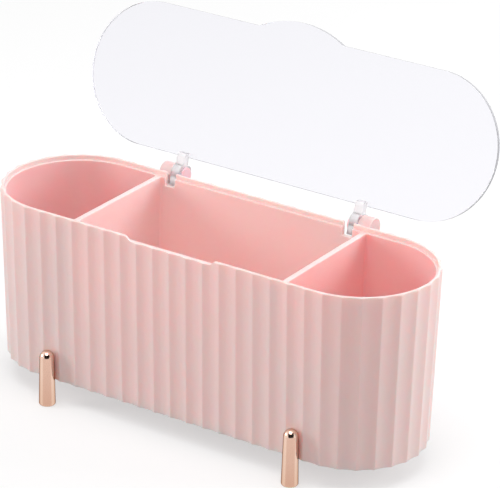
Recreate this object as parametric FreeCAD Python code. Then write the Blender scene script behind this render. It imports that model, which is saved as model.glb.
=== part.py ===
import FreeCAD, Part
import math
import os

from FreeCAD import Vector

# Countertop holder for cotton pads, swabs and puffs: a fluted, obround, pink tub with three
# compartments on four plated legs, and a clear lid on two pin hinges behind the back wall.
#
# Frame: millimetres. X runs along the tub to the right, Y runs from the front to the hinge
# side, Z is up, and the origin is on the floor at the middle of the four feet. The lid is
# drawn open, on its stop. It shuts by turning through open_angle about +X.

# ---------------------------------------------------------------- driving dimensions
# Tub
overall_length = 221.5          # over the flute ridges at the rim
overall_width = 72.0            # over the flute ridges at the rim
tub_height = 83.1               # underside to rim
standing_gap = 11.0             # floor to underside of the tub
wall_draft = 2.25               # how much narrower each side is at the underside than at the rim
flute_count = 60                # concave flutes all round
flute_depth = 0.75              # ridge to bottom of a flute
lip_thickness = 1.7             # rim lip, ridge to recess
ledge_width = 1.0               # shelf that the lid rests on
ledge_depth = 2.2               # rim to shelf
floor_thickness = 2.6
rim_chamfer_outside = 0.4
rim_chamfer_inside = 0.35
underside_chamfer = 0.6
pocket_corner_radius = 1.2      # inside corners of the compartments

# Dividers, moulded in one with the tub
divider_thickness = 2.6
divider_left_x = -54.0          # middle of the divider beside the swab compartment
divider_right_x = 56.75         # middle of the divider beside the puff compartment

# Finger dip in the front lip
dip_half_width = 21.3

# Lid plate
lid_thickness = 2.0
lid_side_clearance = 0.7        # lid edge to recess
lid_seat_clearance = 0.15       # lid underside to shelf when shut
tab_chord = 45.0                # thumb tab on the free edge
tab_height = 5.7
tab_blend_radius = 4.0

# Hinges
hinge_axis_setback = 6.05       # behind the ridges of the back wall at the rim
hinge_axis_drop = 3.4           # below the rim
open_angle = 107.7              # from shut to the stop
hinge_x = 48.15                 # middle of each arm
arm_width = 4.3
arm_bar_thickness = 4.0         # below the lid
arm_grip_length = 2.2           # bonded length under the lid
arm_knuckle_half = 4.9          # half size of the knuckle round the pin
arm_nose_radius = 2.6           # knuckle corner that passes the wall
arm_top_radius = 3.0            # knuckle corners on top
arm_heel_radius = 0.5           # knuckle corner that meets the wall when open
arm_tip_radius = 2.4            # free end of the bar
notch_side_clearance_outer = 0.3
notch_side_clearance_inner = 0.7
notch_floor_clearance = 0.35    # arm bar to notch floor when shut
lug_radius = 4.9
lug_width = 6.4
lug_web_top_above_axis = 1.5
lug_gusset_drop = 11.0          # axis to the foot of the gusset
lug_root_depth = 2.0            # into the wall from its ridges at the rim
pin_radius = 1.55
pin_running_clearance = 0.07    # radial, pin in arm
pin_depth_in_lug = 5.0
pin_head_radius = 4.2
pin_head_thickness = 0.8
pin_head_clearance = 0.25
pin_head_chamfer = 0.2

# Legs
leg_end_inset = 8.8             # axis, in from where the straight wall ends
leg_wall_offset = 1.0           # axis, outside the ridges of the wall at the rim
leg_height = 26.8
leg_foot_radius = 3.87
leg_top_radius = 3.38
leg_foot_edge_radius = 0.8
leg_wall_clearance = 0.05       # flat back of the leg to the ridges
peg_axis_height = 18.0          # floor to the peg behind the leg
peg_radius = 1.6
peg_reach = 1.3                 # into the wall from its ridges
socket_depth = 1.5              # into the wall from its ridges
socket_clearance = 0.05         # radial, peg in socket

# How far a cutting shape reaches past what it cuts
overrun = 1.0

# ---------------------------------------------------------------- derived sizes
end_radius = overall_width / 2.0
half_straight = overall_length / 2.0 - end_radius
end_arc_length = math.pi * end_radius
perimeter = 4.0 * half_straight + 2.0 * end_arc_length
rim_z = standing_gap + tub_height
ledge_z = rim_z - ledge_depth
floor_z = standing_gap + floor_thickness
wall_inset = lip_thickness + ledge_width
hinge_axis_y = end_radius + hinge_axis_setback
hinge_axis_z = rim_z - hinge_axis_drop
leg_x = half_straight - leg_end_inset
leg_y = end_radius + leg_wall_offset
lid_underside_z = ledge_z + lid_seat_clearance
lid_half_width = end_radius - lip_thickness - lid_side_clearance
lid_half_length = overall_length / 2.0 - lip_thickness - lid_side_clearance
arm_inner_x = hinge_x - arm_width / 2.0
arm_outer_x = hinge_x + arm_width / 2.0
notch_inner_x = arm_inner_x - notch_side_clearance_inner
notch_outer_x = arm_outer_x + notch_side_clearance_outer
bar_underside_z = lid_underside_z - arm_bar_thickness
notch_floor_z = bar_underside_z - notch_floor_clearance


def draft_inset(z):
    """Inset of the ridge outline at height z, from the outline at the rim."""
    return wall_draft * (rim_z - z) / tub_height


def ridge_y(z):
    """Distance of the straight wall's ridges from the middle plane at height z."""
    return end_radius - draft_inset(z)


def outline_point(run, inset, z):
    """Point on the obround, run millimetres round it from the middle of the front side."""
    run = run % perimeter
    radius = end_radius - inset
    if run < half_straight:
        return Vector(run, -radius, z)
    run -= half_straight
    if run < end_arc_length:
        angle = run / end_radius - math.pi / 2.0
        return Vector(half_straight + radius * math.cos(angle), radius * math.sin(angle), z)
    run -= end_arc_length
    if run < 2.0 * half_straight:
        return Vector(half_straight - run, radius, z)
    run -= 2.0 * half_straight
    if run < end_arc_length:
        angle = run / end_radius + math.pi / 2.0
        return Vector(-half_straight + radius * math.cos(angle), radius * math.sin(angle), z)
    run -= end_arc_length
    return Vector(-half_straight + run, -radius, z)


def fluted_wire(z, inset):
    """Closed wire of concave arcs between ridges."""
    pitch = perimeter / flute_count
    edges = []
    for index in range(flute_count):
        start = outline_point(index * pitch, inset, z)
        middle = outline_point((index + 0.5) * pitch, inset + flute_depth, z)
        end = outline_point((index + 1) * pitch, inset, z)
        edges.append(Part.Arc(start, middle, end).toShape())
    return Part.Wire(edges)


def obround_wire(z, inset):
    """Closed plain obround wire, inset from the rim outline."""
    radius = end_radius - inset
    front_left = Vector(-half_straight, -radius, z)
    front_right = Vector(half_straight, -radius, z)
    back_right = Vector(half_straight, radius, z)
    back_left = Vector(-half_straight, radius, z)
    right_tip = Vector(half_straight + radius, 0, z)
    left_tip = Vector(-half_straight - radius, 0, z)
    edges = [
        Part.makeLine(front_left, front_right),
        Part.Arc(front_right, right_tip, back_right).toShape(),
        Part.makeLine(back_right, back_left),
        Part.Arc(back_left, left_tip, front_left).toShape(),
    ]
    return Part.Wire(edges)


def block(x0, x1, y0, y1, z0, z1):
    """Box between two corners."""
    return Part.makeBox(x1 - x0, y1 - y0, z1 - z0, Vector(x0, y0, z0))


def mirrored_span(side, near, far):
    """Ordered X limits of a span given by its distances from the middle."""
    return (near, far) if side > 0 else (-far, -near)


def outer_body():
    """Fluted, drafted outside of the tub with chamfered rim and underside."""
    low_z = standing_gap + underside_chamfer
    high_z = rim_z - rim_chamfer_outside
    sections = [
        fluted_wire(standing_gap, wall_draft + underside_chamfer),
        fluted_wire(low_z, draft_inset(low_z)),
        fluted_wire(high_z, draft_inset(high_z)),
        fluted_wire(rim_z, rim_chamfer_outside),
    ]
    return Part.makeLoft(sections, True, True)


def cavity_body():
    """Inside of the tub below the shelf, drafted like the outside."""
    sections = [
        obround_wire(floor_z, wall_inset + draft_inset(floor_z)),
        obround_wire(ledge_z, wall_inset + draft_inset(ledge_z)),
    ]
    return Part.makeLoft(sections, True, True)


def recess_body():
    """Space above the shelf that takes the lid, with a chamfer at the rim."""
    low = Part.makeLoft([obround_wire(ledge_z, lip_thickness),
                         obround_wire(rim_z - rim_chamfer_inside, lip_thickness)], True, True)
    high = Part.makeLoft([obround_wire(rim_z - rim_chamfer_inside, lip_thickness),
                          obround_wire(rim_z + overrun, lip_thickness - rim_chamfer_inside - overrun)],
                         True, True)
    return low.fuse(high)


def pocket(x0, x1):
    """One compartment of the cavity, with rounded inside corners."""
    reach = overall_width
    solid = cavity_body().common(block(x0, x1, -reach, reach, floor_z, ledge_z))
    edges = []
    for edge in solid.Edges:
        box = edge.BoundBox
        if box.ZMin < ledge_z - pocket_corner_radius:
            edges.append(edge)
    rounded = solid.makeFillet(pocket_corner_radius, edges)
    return rounded


def lug(side):
    """Hinge lug behind the back wall, with its web and gusset."""
    x0, x1 = mirrored_span(side, notch_outer_x, notch_outer_x + lug_width)
    barrel = Part.makeCylinder(lug_radius, x1 - x0, Vector(x0, hinge_axis_y, hinge_axis_z),
                               Vector(1, 0, 0))
    root_y = end_radius - lug_root_depth
    web_top = hinge_axis_z + lug_web_top_above_axis
    points = [
        Vector(x0, root_y, web_top),
        Vector(x0, hinge_axis_y, web_top),
        Vector(x0, hinge_axis_y, hinge_axis_z - lug_radius),
        Vector(x0, root_y, hinge_axis_z - lug_gusset_drop),
        Vector(x0, root_y, web_top),
    ]
    web = Part.Face(Part.makePolygon(points)).extrude(Vector(x1 - x0, 0, 0))
    return barrel.fuse(web)


def pin_bore(side):
    """Blind bore in a lug that holds the pin."""
    x0, x1 = mirrored_span(side, notch_outer_x - overrun, notch_outer_x + pin_depth_in_lug)
    return Part.makeCylinder(pin_radius, x1 - x0, Vector(x0, hinge_axis_y, hinge_axis_z),
                             Vector(1, 0, 0))


def leg_socket(x_sign, y_sign):
    """Blind socket in the wall behind a leg, for its peg."""
    bottom = ridge_y(peg_axis_height) - socket_depth
    spot = Vector(x_sign * leg_x, y_sign * bottom, peg_axis_height)
    return Part.makeCylinder(peg_radius + socket_clearance, socket_depth + overrun, spot,
                             Vector(0, y_sign, 0))


def make_tub():
    """Tub with its two dividers, lip, finger dip, notches, lugs and leg sockets."""
    half_divider = divider_thickness / 2.0
    reach = overall_length
    body = outer_body()
    for side in (-1, 1):
        body = body.fuse(lug(side))
    body = body.cut(pocket(-reach, divider_left_x - half_divider))
    body = body.cut(pocket(divider_left_x + half_divider, divider_right_x - half_divider))
    body = body.cut(pocket(divider_right_x + half_divider, reach))
    body = body.cut(recess_body())
    body = body.cut(block(-dip_half_width, dip_half_width, -end_radius - overrun,
                          -end_radius + lip_thickness + overrun, ledge_z, rim_z + overrun))
    for side in (-1, 1):
        x0, x1 = mirrored_span(side, notch_inner_x, notch_outer_x)
        body = body.cut(block(x0, x1, end_radius - wall_inset - overrun, end_radius + overrun,
                              notch_floor_z, rim_z + overrun))
        body = body.cut(pin_bore(side))
        for y_sign in (-1, 1):
            body = body.cut(leg_socket(side, y_sign))
    return body.removeSplitter()


def make_lid_plate():
    """Clear plate in its shut place: an obround with a thumb tab on the free edge."""
    z = lid_underside_z
    half_tab = tab_chord / 2.0
    front_right = Vector(half_straight, -lid_half_width, z)
    front_left = Vector(-half_straight, -lid_half_width, z)
    back_right = Vector(half_straight, lid_half_width, z)
    back_left = Vector(-half_straight, lid_half_width, z)
    tab_left = Vector(-half_tab, -lid_half_width, z)
    tab_right = Vector(half_tab, -lid_half_width, z)
    tab_tip = Vector(0, -lid_half_width - tab_height, z)
    edges = [
        Part.makeLine(front_left, tab_left),
        Part.Arc(tab_left, tab_tip, tab_right).toShape(),
        Part.makeLine(tab_right, front_right),
        Part.Arc(front_right, Vector(lid_half_length, 0, z), back_right).toShape(),
        Part.makeLine(back_right, back_left),
        Part.Arc(back_left, Vector(-lid_half_length, 0, z), front_left).toShape(),
    ]
    plate = Part.Face(Part.Wire(edges)).extrude(Vector(0, 0, lid_thickness))
    blends = []
    for edge in plate.Edges:
        box = edge.BoundBox
        upright = box.ZLength > lid_thickness / 2.0
        if upright and abs(abs(box.XMin) - half_tab) < 0.01 and box.YMin < 0:
            blends.append(edge)
    return plate.makeFillet(tab_blend_radius, blends)


def make_arm(side):
    """Clear hinge arm in its shut place: a bar under the lid and a knuckle round the pin."""
    x0, x1 = mirrored_span(side, arm_inner_x, arm_outer_x)
    width = x1 - x0
    half = arm_knuckle_half
    y0 = hinge_axis_y - half
    y1 = hinge_axis_y + half
    z0 = hinge_axis_z - half
    z1 = hinge_axis_z + half
    tip_y = lid_half_width - arm_grip_length
    points = [
        Vector(x0, tip_y, lid_underside_z),
        Vector(x0, tip_y, bar_underside_z),
        Vector(x0, y0 + arm_nose_radius, bar_underside_z),
        Vector(x0, y0 + arm_nose_radius, z0),
        Vector(x0, y1, z0),
        Vector(x0, y1, z1),
        Vector(x0, y0, z1),
        Vector(x0, y0, lid_underside_z),
        Vector(x0, tip_y, lid_underside_z),
    ]
    body = Part.Face(Part.makePolygon(points)).extrude(Vector(width, 0, 0))
    nose = Part.makeCylinder(arm_nose_radius, width,
                             Vector(x0, y0 + arm_nose_radius, z0 + arm_nose_radius),
                             Vector(1, 0, 0))
    body = body.fuse(nose).removeSplitter()

    def corner(y, z):
        """The long edge of the arm at one corner of its side shape."""
        for edge in body.Edges:
            box = edge.BoundBox
            along = box.XLength > width - 0.01
            if along and abs(box.YMin - y) < 0.01 and abs(box.ZMin - z) < 0.01:
                return edge
        raise ValueError("no arm edge at %.2f %.2f" % (y, z))

    body = body.makeFillet(arm_top_radius, [corner(y0, z1), corner(y1, z1)])
    body = body.makeFillet(arm_heel_radius, [corner(y1, z0)])
    body = body.makeFillet(arm_tip_radius, [corner(tip_y, bar_underside_z)])
    bore = Part.makeCylinder(pin_radius + pin_running_clearance, width + 2.0 * overrun,
                             Vector(x0 - overrun, hinge_axis_y, hinge_axis_z), Vector(1, 0, 0))
    return body.cut(bore)


def make_pin(side):
    """Headed hinge pin, pressed into its lug through the arm."""
    head_far = arm_inner_x - pin_head_clearance - pin_head_thickness
    head_near = arm_inner_x - pin_head_clearance
    shank_end = notch_outer_x + pin_depth_in_lug
    x0, x1 = mirrored_span(side, head_far, head_near)
    head = Part.makeCylinder(pin_head_radius, x1 - x0, Vector(x0, hinge_axis_y, hinge_axis_z),
                             Vector(1, 0, 0))
    outer_face_x = head_far * side
    edges = []
    for edge in head.Edges:
        box = edge.BoundBox
        flat = box.XLength < 0.01
        if flat and abs(box.XMin - outer_face_x) < 0.01:
            edges.append(edge)
    head = head.makeChamfer(pin_head_chamfer, edges)
    x0, x1 = mirrored_span(side, head_near, shank_end)
    shank = Part.makeCylinder(pin_radius, x1 - x0, Vector(x0, hinge_axis_y, hinge_axis_z),
                              Vector(1, 0, 0))
    return head.fuse(shank).removeSplitter()


def make_leg(x_sign, y_sign):
    """Plated leg: a tapered, dome-topped post, flat against the wall, with a peg into it."""
    shoulder_z = leg_height - leg_top_radius
    taper = (leg_foot_radius - leg_top_radius) / shoulder_z
    edge = leg_foot_edge_radius
    edge_x = leg_foot_radius - taper * edge
    diagonal = math.sqrt(0.5)
    profile = [
        Part.makeLine(Vector(0, 0, 0), Vector(edge_x - edge, 0, 0)),
        Part.Arc(Vector(edge_x - edge, 0, 0),
                 Vector(edge_x - edge * (1.0 - diagonal), 0, edge * (1.0 - diagonal)),
                 Vector(edge_x, 0, edge)).toShape(),
        Part.makeLine(Vector(edge_x, 0, edge), Vector(leg_top_radius, 0, shoulder_z)),
        Part.Arc(Vector(leg_top_radius, 0, shoulder_z),
                 Vector(leg_top_radius * diagonal, 0, shoulder_z + leg_top_radius * diagonal),
                 Vector(0, 0, leg_height)).toShape(),
        Part.makeLine(Vector(0, 0, leg_height), Vector(0, 0, 0)),
    ]
    post = Part.Face(Part.Wire(profile)).revolve(Vector(0, 0, 0), Vector(0, 0, 1), 360)
    post.translate(Vector(leg_x, -leg_y, 0))
    top = leg_height + overrun
    face_low = -ridge_y(standing_gap) - leg_wall_clearance
    face_top = -ridge_y(top) - leg_wall_clearance
    side = leg_foot_radius + overrun
    points = [
        Vector(leg_x - side, face_low, standing_gap),
        Vector(leg_x - side, face_low + 2.0 * side, standing_gap),
        Vector(leg_x - side, face_top + 2.0 * side, top),
        Vector(leg_x - side, face_top, top),
        Vector(leg_x - side, face_low, standing_gap),
    ]
    wall_side = Part.Face(Part.makePolygon(points)).extrude(Vector(2.0 * side, 0, 0))
    post = post.cut(wall_side)
    peg_length = leg_y - ridge_y(peg_axis_height) + peg_reach
    peg = Part.makeCylinder(peg_radius, peg_length, Vector(leg_x, -leg_y, peg_axis_height),
                            Vector(0, 1, 0))
    body = post.fuse(peg).removeSplitter()
    if x_sign < 0:
        body = body.mirror(Vector(0, 0, 0), Vector(1, 0, 0))
    if y_sign > 0:
        body = body.mirror(Vector(0, 0, 0), Vector(0, 1, 0))
    return body


def opened(shape):
    """Turn a lid-side shape from its shut place to the open stop."""
    turned = shape.copy()
    turned.rotate(Vector(0, hinge_axis_y, hinge_axis_z), Vector(1, 0, 0), -open_angle)
    return turned


def export(name, shape):
    """Check one piece and write it."""
    solids = shape.Solids
    if len(solids) != 1:
        raise ValueError("%s has %d solids" % (name, len(solids)))
    solid = solids[0]
    if not solid.isValid():
        raise ValueError("%s is not a valid solid" % name)
    solid.exportStep("parts/%s.step" % name)
    box = solid.BoundBox
    print("%-18s %9.1f mm3  X %.2f..%.2f  Y %.2f..%.2f  Z %.2f..%.2f  faces %d" % (
        name, solid.Volume, box.XMin, box.XMax, box.YMin, box.YMax, box.ZMin, box.ZMax,
        len(solid.Faces)))


os.makedirs("parts", exist_ok=True)
export("tub", make_tub())
export("lid_plate", opened(make_lid_plate()))
export("hinge_arm_left", opened(make_arm(-1)))
export("hinge_arm_right", opened(make_arm(1)))
export("hinge_pin_left", make_pin(-1))
export("hinge_pin_right", make_pin(1))
export("leg_front_left", make_leg(-1, -1))
export("leg_front_right", make_leg(1, -1))
export("leg_back_left", make_leg(-1, 1))
export("leg_back_right", make_leg(1, 1))
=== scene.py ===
"""Looks of a fluted pink cotton pad holder with a clear hinged lid and rose gold legs.

Metres. X runs along the tub to the right, Y from the front to the hinge side, Z up, with
the origin on the floor at the middle of the four feet.
"""

import logging
import math
from dataclasses import dataclass, field
from enum import Enum
from typing import Callable, Sequence, Union

import bmesh
import bpy
from mathutils import Matrix, Vector


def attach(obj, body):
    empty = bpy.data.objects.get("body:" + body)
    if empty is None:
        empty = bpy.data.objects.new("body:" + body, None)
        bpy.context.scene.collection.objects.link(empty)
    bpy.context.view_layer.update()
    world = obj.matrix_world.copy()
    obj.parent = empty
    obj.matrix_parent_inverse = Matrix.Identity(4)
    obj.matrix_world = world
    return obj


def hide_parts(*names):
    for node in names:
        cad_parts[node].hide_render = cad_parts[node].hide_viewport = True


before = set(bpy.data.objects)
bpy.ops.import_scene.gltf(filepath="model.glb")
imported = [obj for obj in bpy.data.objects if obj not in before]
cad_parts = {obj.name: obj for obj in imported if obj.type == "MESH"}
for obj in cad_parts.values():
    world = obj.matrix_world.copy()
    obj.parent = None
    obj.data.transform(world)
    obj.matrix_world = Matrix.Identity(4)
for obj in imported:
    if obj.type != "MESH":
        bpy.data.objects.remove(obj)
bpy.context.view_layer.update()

log = logging.getLogger("holder")

RIGHT_ANGLE = math.pi / 2.0
X_AXIS = Vector((1.0, 0.0, 0.0))
Z_AXIS = Vector((0.0, 0.0, 1.0))
TURNED_STEPS = 48
HALF_UNIT = 0.5

# Distances within which points are merged, and within which a point lies on a plane.
MERGE_DISTANCE = 1e-7
TOUCH = 1e-6

# Signs of X and Y at a rectangle's corners, from the right back corner round by the left.
CORNERS = ((1.0, 1.0), (-1.0, 1.0), (-1.0, -1.0), (1.0, -1.0))

# Names of the numbers that the meshes store on their faces for the finishes.
# The first holds each tub face's share of painted light: a redder, brighter pink standing in for
# light bounced inside the compartments, and painted shade, a deeper pink, on the rim, ledge and
# divider tops.
PAINTED_LIGHT_SHARE = "shade"
# The second marks the tub faces of the hinge lugs, which get painted shade, a darker pink.
LUG_PAINTED_SHADE = "lug"
# The third marks the lid's cut edges, which get painted grey shade.
CUT_EDGE = "cut_edge"

# Sockets of a Mix node set to colours. Its other kinds use the same names.
MIX_FACTOR, MIX_FIRST, MIX_SECOND, MIX_RESULT = 0, 6, 7, 2


class Body(Enum):
    """Bodies that pieces ride on."""

    TUB = "tub"
    LID = "lid"


class Slot(Enum):
    """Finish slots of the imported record."""

    PINK = "pink_plastic"
    CLEAR = "clear_acrylic"
    ROSE_GOLD = "rose_gold_plate"


class Cut(Enum):
    """How a shape is combined with a solid."""

    ADD = "UNION"
    TAKE = "DIFFERENCE"


class Lying(Enum):
    """Way that a rod lies, with the axis that it is turned about to lie so."""

    ALONG_X = "Y"
    ALONG_Y = "X"


class Side(Enum):
    """Left or right, with the sign of X there."""

    LEFT = -1.0
    RIGHT = 1.0

    @property
    def word(self) -> str:
        """Its word in the names of nodes."""
        return self.name.lower()


class Row(Enum):
    """Front or back, with the sign of Y there."""

    FRONT = -1.0
    BACK = 1.0

    @property
    def word(self) -> str:
        """Its word in the names of nodes."""
        return self.name.lower()


# ------------------------------------------------------------------------------ node trees
Colour = Union[Sequence[float], bpy.types.NodeSocket]


@dataclass(frozen=True)
class Pattern:
    """A noise pattern: cells per metre, octaves, share of each finer octave, and stretch."""

    scale: float
    detail: float = 3.0
    roughness: float = 0.5
    stretch: Sequence[float] = (1.0, 1.0, 1.0)


class NodeTree:
    """A material's or a world's node tree, with short calls to add and join nodes."""

    def __init__(self, owner: bpy.types.ID) -> None:
        """Start with an empty tree.

        Args:
            owner: The material or world that the tree belongs to.
        """
        owner.use_nodes = True
        self.owner = owner
        self.tree = owner.node_tree
        self.tree.nodes.clear()

    @classmethod
    def of_material(cls, name: str) -> "NodeTree":
        """Start a new material's tree."""
        return cls(bpy.data.materials.new(name))

    def node(self, kind: str, **settings: object) -> bpy.types.Node:
        """Add a node.

        Args:
            kind: Blender's type name of the node.
            settings: Attributes to set on it.

        Returns:
            The new node.
        """
        made = self.tree.nodes.new(kind)
        for key, value in settings.items():
            setattr(made, key, value)
        return made

    def join(self, source: bpy.types.NodeSocket, target: bpy.types.NodeSocket) -> None:
        """Link an output socket to an input socket."""
        self.tree.links.new(source, target)

    def noise(self, pattern: Pattern) -> bpy.types.NodeSocket:
        """Add noise over the piece's own coordinates.

        Args:
            pattern: What the noise is like.

        Returns:
            The noise's socket, from 0 to 1.
        """
        place = self.node("ShaderNodeTexCoord")
        mapping = self.node("ShaderNodeMapping")
        mapping.inputs["Scale"].default_value = tuple(pattern.stretch)
        texture = self.node("ShaderNodeTexNoise")
        texture.inputs["Scale"].default_value = pattern.scale
        texture.inputs["Detail"].default_value = pattern.detail
        texture.inputs["Roughness"].default_value = pattern.roughness
        self.join(place.outputs["Object"], mapping.inputs["Vector"])
        self.join(mapping.outputs["Vector"], texture.inputs["Vector"])
        return texture.outputs["Fac"]

    def stored(self, name: str) -> bpy.types.NodeSocket:
        """Number that the mesh stores under a name, or 0 where it stores none."""
        return self.node("ShaderNodeAttribute", attribute_name=name).outputs["Fac"]

    def height(self) -> bpy.types.NodeSocket:
        """Read the height above the floor.

        Returns:
            The height's socket, in metres.
        """
        split = self.node("ShaderNodeSeparateXYZ")
        self.join(self.node("ShaderNodeTexCoord").outputs["Object"], split.inputs["Vector"])
        return split.outputs["Z"]

    def ranged(self, value: bpy.types.NodeSocket, low: float, high: float,
               start: float = 0.3, end: float = 0.7) -> bpy.types.NodeSocket:
        """Map a value from start..end to low..high.

        Args:
            value: Socket to read.
            low: Result at start.
            high: Result at end.
            start: Lower end of what is read.
            end: Upper end of what is read.

        Returns:
            The mapped value's socket.
        """
        mapped = self.node("ShaderNodeMapRange")
        mapped.inputs["From Min"].default_value = start
        mapped.inputs["From Max"].default_value = end
        mapped.inputs["To Min"].default_value = low
        mapped.inputs["To Max"].default_value = high
        self.join(value, mapped.inputs["Value"])
        return mapped.outputs["Result"]

    def between(self, factor: bpy.types.NodeSocket, low: float,
                high: float) -> bpy.types.NodeSocket:
        """Go from low to high as a factor goes from 0 to 1."""
        return self.ranged(factor, low, high, 0.0, 1.0)

    def mixed(self, factor: bpy.types.NodeSocket, first: Colour,
              second: Colour) -> bpy.types.NodeSocket:
        """Blend two colours.

        Args:
            factor: Socket from 0, the first colour, to 1, the second.
            first: Linear red, green and blue, or a socket.
            second: Linear red, green and blue, or a socket.

        Returns:
            The blended colour's socket.
        """
        blend = self.node("ShaderNodeMix", data_type="RGBA")
        self.join(factor, blend.inputs[MIX_FACTOR])
        for colour, socket in ((first, MIX_FIRST), (second, MIX_SECOND)):
            if isinstance(colour, bpy.types.NodeSocket):
                self.join(colour, blend.inputs[socket])
            else:
                blend.inputs[socket].default_value = (*colour, 1.0)
        return blend.outputs[MIX_RESULT]

    def blended(self, factor: bpy.types.NodeSocket, first: bpy.types.NodeSocket,
                second: bpy.types.NodeSocket) -> bpy.types.NodeSocket:
        """Blend two surfaces.

        Args:
            factor: Socket from 0, the first surface, to 1, the second.
            first: Surface's socket.
            second: Surface's socket.

        Returns:
            The blended surface's socket.
        """
        blend = self.node("ShaderNodeMixShader")
        for number, socket in enumerate((factor, first, second)):
            self.join(socket, blend.inputs[number])
        return blend.outputs["Shader"]

    def bump(self, height: bpy.types.NodeSocket, distance: float) -> bpy.types.NodeSocket:
        """Turn a height from 0 to 1 into a normal.

        Args:
            height: Socket to read.
            distance: Height of 1, in metres.

        Returns:
            The normal's socket.
        """
        made = self.node("ShaderNodeBump")
        made.inputs["Distance"].default_value = distance
        made.inputs["Strength"].default_value = 1.0
        self.join(height, made.inputs["Height"])
        return made.outputs["Normal"]

    def principled(self, **values: object) -> bpy.types.Node:
        """Add a Principled shader.

        Args:
            values: Socket values, with underscores for the spaces in their names.

        Returns:
            The shader node.
        """
        shader = self.node("ShaderNodeBsdfPrincipled")
        for key, value in values.items():
            shader.inputs[key.replace("_", " ")].default_value = value
        return shader

    def output(self, surface: bpy.types.NodeSocket) -> bpy.types.Material:
        """End the tree with a surface and return the material."""
        self.join(surface, self.node("ShaderNodeOutputMaterial").inputs["Surface"])
        return self.owner


@dataclass(frozen=True)
class PinkPlastic:
    """Satin moulded plastic: even colour, a fine moulded grain and a soft sheen, with painted
    bounce light and painted shade where the mesh marks them.
    """

    name: str
    pale: Sequence[float] = (0.980, 0.720, 0.695)
    deep: Sequence[float] = (0.976, 0.711, 0.685)
    # Painted bounce light: the redder, brighter pink of the compartments, standing in for light
    # bounced round inside them. Part of it is mixed onto the tops as painted shade.
    inner: Sequence[float] = (1.0, 0.60, 0.59)
    # Painted shade: a darker pink on the hinge lugs, which are moulded with the tub in the same
    # plastic.
    lug: Sequence[float] = (0.77, 0.57, 0.56)
    refraction: float = 1.5
    rough_low: float = 0.36
    rough_high: float = 0.46
    glow_reach: Sequence[float] = (1.0, 0.24, 0.20)
    glow_share: float = 0.8
    # Where the painted bounce light is, the plastic also scatters more of the light, and deeper.
    inner_glow_share: float = 0.85
    glow_depth: float = 0.006
    inner_glow_depth: float = 0.009
    cloud: Pattern = Pattern(95.0, 4.0, 0.55)
    flow: Pattern = Pattern(160.0, stretch=(1.0, 1.0, 0.16))
    grain: Pattern = Pattern(5200.0, 2.0, 0.6)
    grain_height: float = 0.000004

    def material(self) -> bpy.types.Material:
        """Build the material, with painted bounce light and painted shade where the mesh stores a
        share of painted light, and painted shade on the lugs.

        Returns:
            The material.
        """
        tree = NodeTree.of_material(self.name)
        shader = tree.principled(IOR=self.refraction, Subsurface_Radius=self.glow_reach)
        outer = tree.mixed(tree.ranged(tree.noise(self.cloud), 0.0, 1.0), self.pale, self.deep)
        # Painted shade on the lugs.
        outer = tree.mixed(tree.stored(LUG_PAINTED_SHADE), outer, self.lug)
        # Painted bounce light and painted shade from the stored share, with deeper scattering where
        # it is.
        shade = tree.stored(PAINTED_LIGHT_SHARE)
        tree.join(tree.mixed(shade, outer, self.inner), shader.inputs["Base Color"])
        tree.join(tree.between(shade, self.glow_share, self.inner_glow_share),
                  shader.inputs["Subsurface Weight"])
        tree.join(tree.between(shade, self.glow_depth, self.inner_glow_depth),
                  shader.inputs["Subsurface Scale"])
        tree.join(tree.ranged(tree.noise(self.flow), self.rough_low, self.rough_high),
                  shader.inputs["Roughness"])
        tree.join(tree.bump(tree.noise(self.grain), self.grain_height), shader.inputs["Normal"])
        return tree.output(shader.outputs["BSDF"])


@dataclass(frozen=True)
class PinPlastic(PinkPlastic):
    """The hinge pins' plastic: a cooler pink that lets little light into its depth."""

    name: str = "pink_pin"
    pale: Sequence[float] = (0.90, 0.60, 0.65)
    deep: Sequence[float] = (0.88, 0.58, 0.63)
    glow_depth: float = 0.0005


@dataclass(frozen=True)
class ClearAcrylic:
    """Clear cast sheet: a faint cool tint, polished faces and faint haze; cut edges less clear and
    greyed with painted shade.
    """

    name: str
    tint: Sequence[float] = (0.920, 0.915, 0.955)
    # Cut edges: less clear, like a sawn edge, and greyed with painted shade for the dark outline of
    # a clear sheet's edge.
    edge_painted_shade: Sequence[float] = (0.72, 0.715, 0.76)
    edge_clearness: float = 0.30
    refraction: float = 1.49
    rough_low: float = 0.0
    rough_high: float = 0.03
    haze: Pattern = Pattern(45.0, 5.0, 0.6)
    haze_start: float = 0.35
    haze_end: float = 0.8
    wave: Pattern = Pattern(26.0, 1.0, 0.4)
    wave_height: float = 0.00002

    def material(self) -> bpy.types.Material:
        """Build the material. Lamps shine through it, tinted.

        Returns:
            The material.
        """
        tree = NodeTree.of_material(self.name)
        shader = tree.principled(IOR=self.refraction)
        # Painted grey shade on the cut edges.
        cut = tree.stored(CUT_EDGE)
        tree.join(tree.mixed(cut, self.tint, self.edge_painted_shade), shader.inputs["Base Color"])
        tree.join(tree.between(cut, 1.0, self.edge_clearness),
                  shader.inputs["Transmission Weight"])
        tree.join(tree.ranged(tree.noise(self.haze), self.rough_low, self.rough_high,
                              self.haze_start, self.haze_end), shader.inputs["Roughness"])
        tree.join(tree.bump(tree.noise(self.wave), self.wave_height), shader.inputs["Normal"])
        path = tree.node("ShaderNodeLightPath")
        clear = tree.node("ShaderNodeBsdfTransparent")
        clear.inputs["Color"].default_value = (*self.tint, 1.0)
        return tree.output(tree.blended(path.outputs["Is Shadow Ray"], shader.outputs["BSDF"],
                                        clear.outputs["BSDF"]))


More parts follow.
